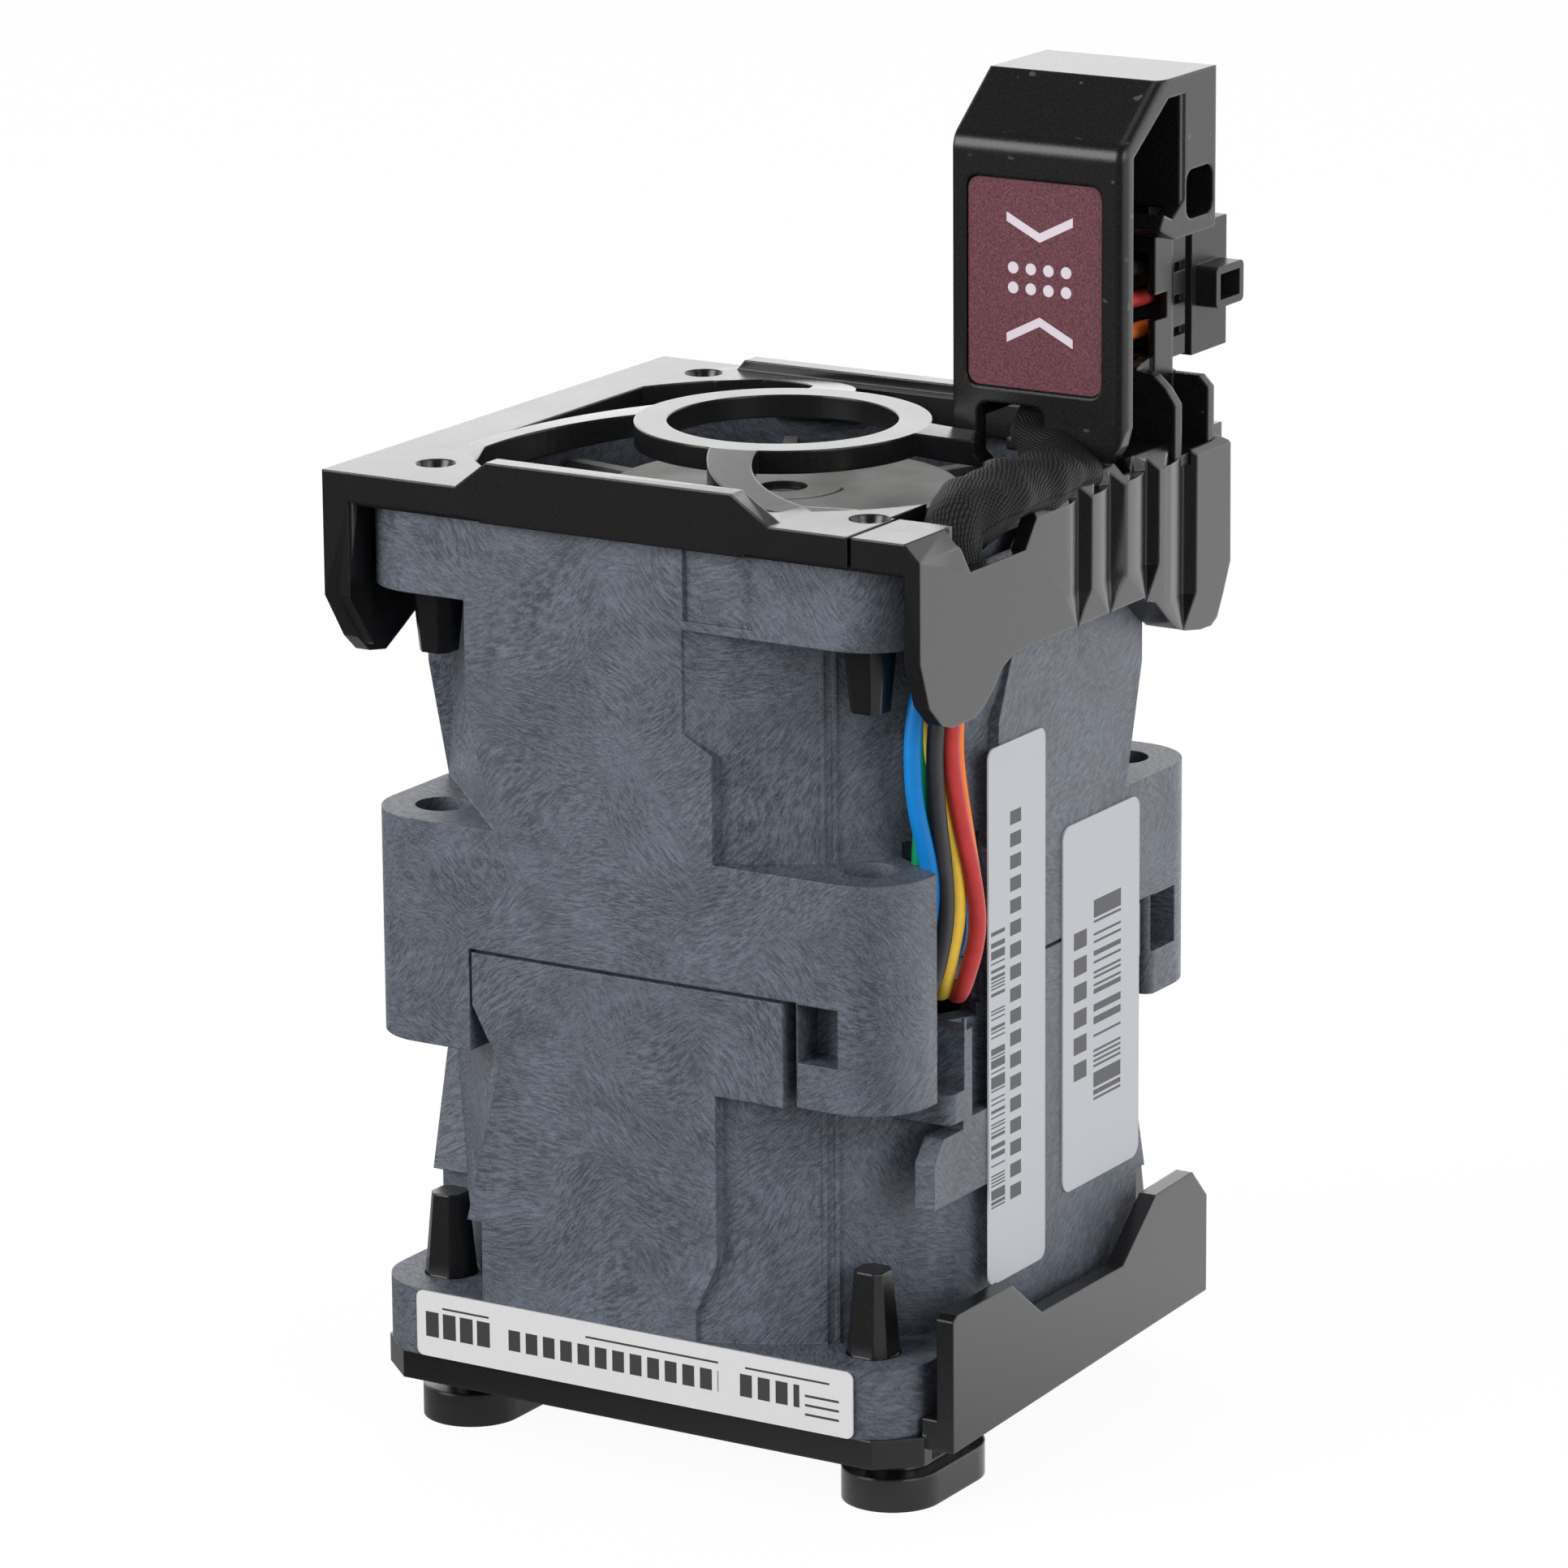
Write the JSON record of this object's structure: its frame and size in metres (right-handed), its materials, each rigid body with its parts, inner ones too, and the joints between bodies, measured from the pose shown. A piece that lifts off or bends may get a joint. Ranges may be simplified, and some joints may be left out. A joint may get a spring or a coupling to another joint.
{
  "type": "server fan module",
  "caption": "Plug-in counter-rotating fan module with square housings, guard frame, rubber feet and a raised arm that carries its board connector.",
  "frame": {"origin": "on the rotors' common axis, level with the upper face of the middle flange, at the centre of its four screw holes", "axes": "+Z along the rotor axis towards the guarded air inlet, -Y towards the front with the long label and the press face, +X towards the ribbed side with the wires"},
  "size_m": [0.0438, 0.0446, 0.0878],
  "materials": {
    "housing_plastic": "matte, fibre-filled, fine flow marks",
    "frame_plastic": "fine satin",
    "arm_plastic": "satin",
    "foot_rubber": "smooth",
    "connector_plastic": "satin",
    "terminal_metal": "bright",
    "sleeve_fabric": "fine diagonal weave",
    "label_maroon": "satin print with pale dots",
    "label_front": "matte print",
    "label_side": "matte print",
    "insulation_blue": "smooth",
    "insulation_green": "smooth",
    "insulation_yellow": "smooth",
    "insulation_dark_grey": "smooth",
    "insulation_red": "smooth",
    "insulation_orange": "smooth",
    "insulation_light_grey": "smooth",
    "sleeve_brass": "turned",
    "bearing_steel": "ground",
    "core_steel": "stacked sheets",
    "winding_copper": "enamelled copper wire",
    "board_green": "solder mask",
    "impeller_plastic": "matte, fine grain",
    "yoke_steel": "drawn",
    "magnet": "matte",
    "shaft_steel": "ground"
  },
  "bodies": {
    "module": {"upper_fan_housing": "housing_plastic", "lower_fan_housing": "housing_plastic", "end_frame": "frame_plastic", "base_plate": "frame_plastic", "foot_left": "foot_rubber", "foot_right": "foot_rubber", "connector_arm": "arm_plastic", "connector_housing": "connector_plastic", "connector_retainer": "connector_plastic", "connector_terminals": "terminal_metal", "cable_sleeve": "sleeve_fabric", "press_label": "label_maroon", "front_label": "label_front", "side_label_narrow": "label_side", "side_label_wide": "label_side", "wire_blue": "insulation_blue", "wire_blue_second": "insulation_blue", "wire_green": "insulation_green", "wire_yellow": "insulation_yellow", "wire_dark_grey": "insulation_dark_grey", "wire_red": "insulation_red", "wire_orange": "insulation_orange", "wire_light_grey": "insulation_light_grey", "upper_bearing_sleeve": "sleeve_brass", "upper_bearings": "bearing_steel", "upper_stator_core": "core_steel", "upper_windings": "winding_copper", "upper_circuit_board": "board_green", "lower_bearing_sleeve": "sleeve_brass", "lower_bearings": "bearing_steel", "lower_stator_core": "core_steel", "lower_windings": "winding_copper", "lower_circuit_board": "board_green"},
    "upper_rotor": {"upper_impeller": "impeller_plastic", "upper_rotor_yoke": "yoke_steel", "upper_magnet_ring": "magnet", "upper_shaft": "shaft_steel", "upper_retaining_clip": "shaft_steel", "upper_preload_washer": "shaft_steel"},
    "lower_rotor": {"lower_impeller": "impeller_plastic", "lower_rotor_yoke": "yoke_steel", "lower_magnet_ring": "magnet", "lower_shaft": "shaft_steel", "lower_retaining_clip": "shaft_steel", "lower_preload_washer": "shaft_steel"}
  },
  "joints": [
    {"name": "upper_rotor_spin", "type": "hinge", "parent": "module", "child": "upper_rotor", "pos_m": [0, 0, 0], "axis": [0, 0, 1], "continuous": true},
    {"name": "lower_rotor_spin", "type": "hinge", "parent": "module", "child": "lower_rotor", "pos_m": [0, 0, 0], "axis": [0, 0, 1], "continuous": true}
  ]
}
